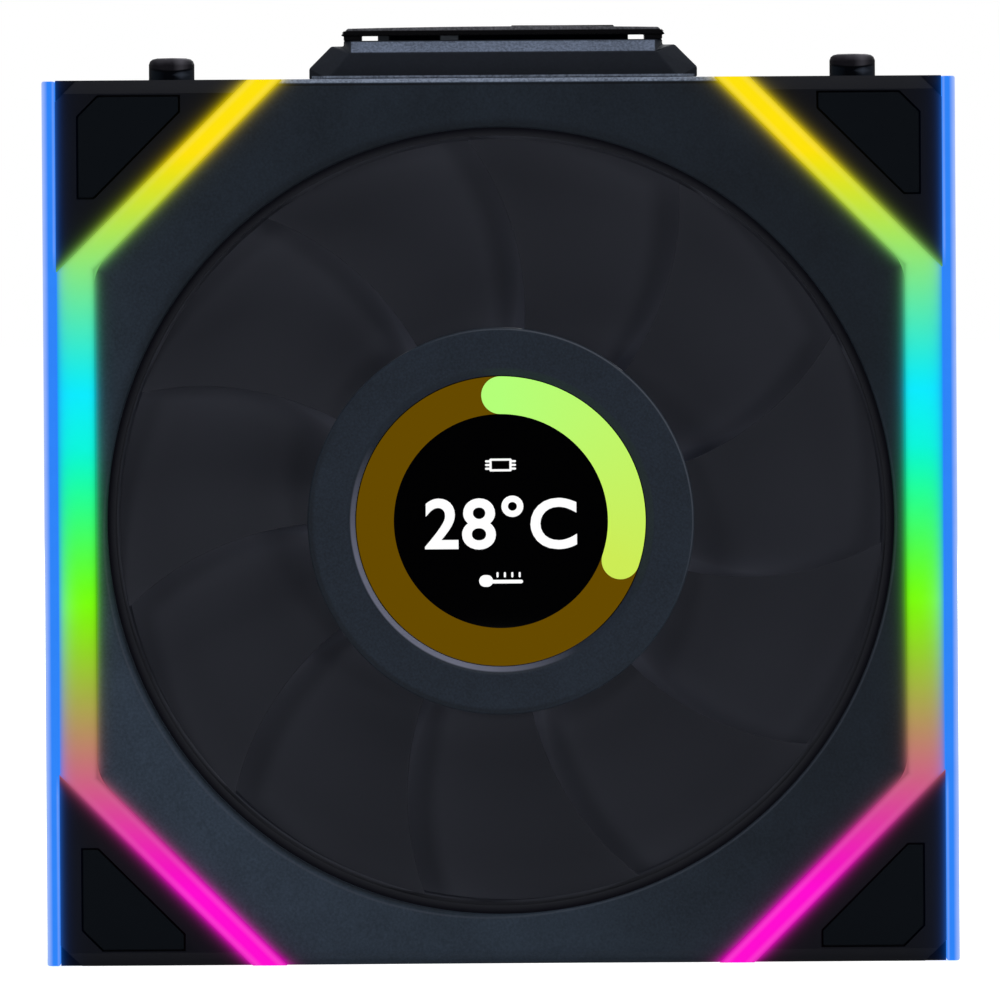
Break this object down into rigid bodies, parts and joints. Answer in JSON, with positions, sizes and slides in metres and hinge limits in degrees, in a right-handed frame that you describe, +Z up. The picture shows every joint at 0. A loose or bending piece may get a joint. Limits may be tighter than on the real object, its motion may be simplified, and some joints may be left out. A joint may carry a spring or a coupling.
{
  "type": "case fan",
  "caption": "Square linkable case fan with a round display fixed over its hub, diagonal light guides round the front, a link rail and pegs on top, and a pocket below.",
  "frame": {"origin": "centre of the four case screw holes in the plane of the rear pads", "axes": "+Y out of the back along the rotor axis, so the front faces -Y; +Z up, towards the link rail; +X to the viewer's right when the fan is seen from its front"},
  "size_m": [0.1236, 0.028, 0.1271],
  "materials": {
    "frame_black": "fine texture",
    "cover_graphite": "fine texture",
    "screw_steel": "dark zinc",
    "guide_rainbow": "frosted diffuser",
    "guide_blue": "frosted diffuser",
    "board_white": "white solder mask",
    "board_green": "green solder mask",
    "led_resin": "clear resin",
    "pad_rubber": "matte",
    "link_black": "satin",
    "contact_gold": "gold plated",
    "peg_black": "satin",
    "blade_black": "satin",
    "yoke_steel": "drawn",
    "magnet_dark": "bonded ferrite",
    "bearing_brass": "sintered",
    "axle_steel": "ground",
    "washer_plastic": "natural",
    "core_steel": "laminated",
    "bobbin_plastic": "natural",
    "coil_copper": "enamelled copper wire",
    "ribbon_black": "flat insulated ribbon",
    "bezel_graphite": "satin",
    "panel_dark": "round display cell",
    "lens_black": "polished",
    "flex_amber": "polyimide film"
  },
  "bodies": {
    "frame": {"front_frame": "frame_black", "rear_frame": "frame_black", "front_cover": "cover_graphite", "cover_screws": "screw_steel", "front_light_guide_left": "guide_rainbow", "front_light_guide_right": "guide_rainbow", "side_light_guide_left": "guide_blue", "side_light_guide_right": "guide_blue", "front_led_board_left": "board_white", "front_led_board_right": "board_white", "front_leds_left": "led_resin", "front_leds_right": "led_resin", "side_led_board_left": "board_white", "side_led_board_right": "board_white", "side_leds_left": "led_resin", "side_leds_right": "led_resin", "front_pad_top_left": "pad_rubber", "front_pad_top_right": "pad_rubber", "front_pad_bottom_left": "pad_rubber", "front_pad_bottom_right": "pad_rubber", "rear_pads": "pad_rubber", "link_body": "cover_graphite", "link_plate": "link_black", "contact_board": "board_green", "contact_block": "link_black", "contact_barrels": "contact_gold", "locating_peg_left": "peg_black", "locating_peg_right": "peg_black", "socket_board": "board_green", "socket_contacts": "contact_gold", "axle_tube": "axle_steel", "axle_nut": "axle_steel", "thrust_washers": "washer_plastic", "retaining_clip": "screw_steel", "stator_tube": "bearing_brass", "stator_core": "core_steel", "stator_bobbins": "bobbin_plastic", "stator_coils": "coil_copper", "motor_board": "board_green", "motor_board_parts": "link_black", "motor_cover": "link_black", "power_ribbon": "ribbon_black", "bus_ribbon": "ribbon_black", "display_bezel": "bezel_graphite", "display_carrier": "frame_black", "display_board": "board_green", "display_panel": "panel_dark", "display_lens": "lens_black", "display_screws": "axle_steel", "display_flex": "flex_amber"},
    "rotor": {"impeller": "blade_black", "rotor_yoke": "yoke_steel", "magnet_ring": "magnet_dark", "bearing_sleeve": "bearing_brass"},
    "contact_pin_1_body": {"contact_pin_1": "contact_gold"},
    "contact_pin_2_body": {"contact_pin_2": "contact_gold"},
    "contact_pin_3_body": {"contact_pin_3": "contact_gold"},
    "contact_pin_4_body": {"contact_pin_4": "contact_gold"},
    "contact_pin_5_body": {"contact_pin_5": "contact_gold"}
  },
  "joints": [
    {"name": "rotor_spin", "type": "hinge", "parent": "frame", "child": "rotor", "pos_m": [0, 0, 0], "axis": [0, 1, 0], "continuous": true},
    {"name": "contact_pin_1_press", "type": "slide", "parent": "frame", "child": "contact_pin_1_body", "axis": [0, 0, 1], "range_m": [-0.0007, 0], "stiffness_N_per_m": 400, "springref_m": 0.0005},
    {"name": "contact_pin_2_press", "type": "slide", "parent": "frame", "child": "contact_pin_2_body", "axis": [0, 0, 1], "range_m": [-0.0007, 0], "stiffness_N_per_m": 400, "springref_m": 0.0005},
    {"name": "contact_pin_3_press", "type": "slide", "parent": "frame", "child": "contact_pin_3_body", "axis": [0, 0, 1], "range_m": [-0.0007, 0], "stiffness_N_per_m": 400, "springref_m": 0.0005},
    {"name": "contact_pin_4_press", "type": "slide", "parent": "frame", "child": "contact_pin_4_body", "axis": [0, 0, 1], "range_m": [-0.0007, 0], "stiffness_N_per_m": 400, "springref_m": 0.0005},
    {"name": "contact_pin_5_press", "type": "slide", "parent": "frame", "child": "contact_pin_5_body", "axis": [0, 0, 1], "range_m": [-0.0007, 0], "stiffness_N_per_m": 400, "springref_m": 0.0005}
  ]
}
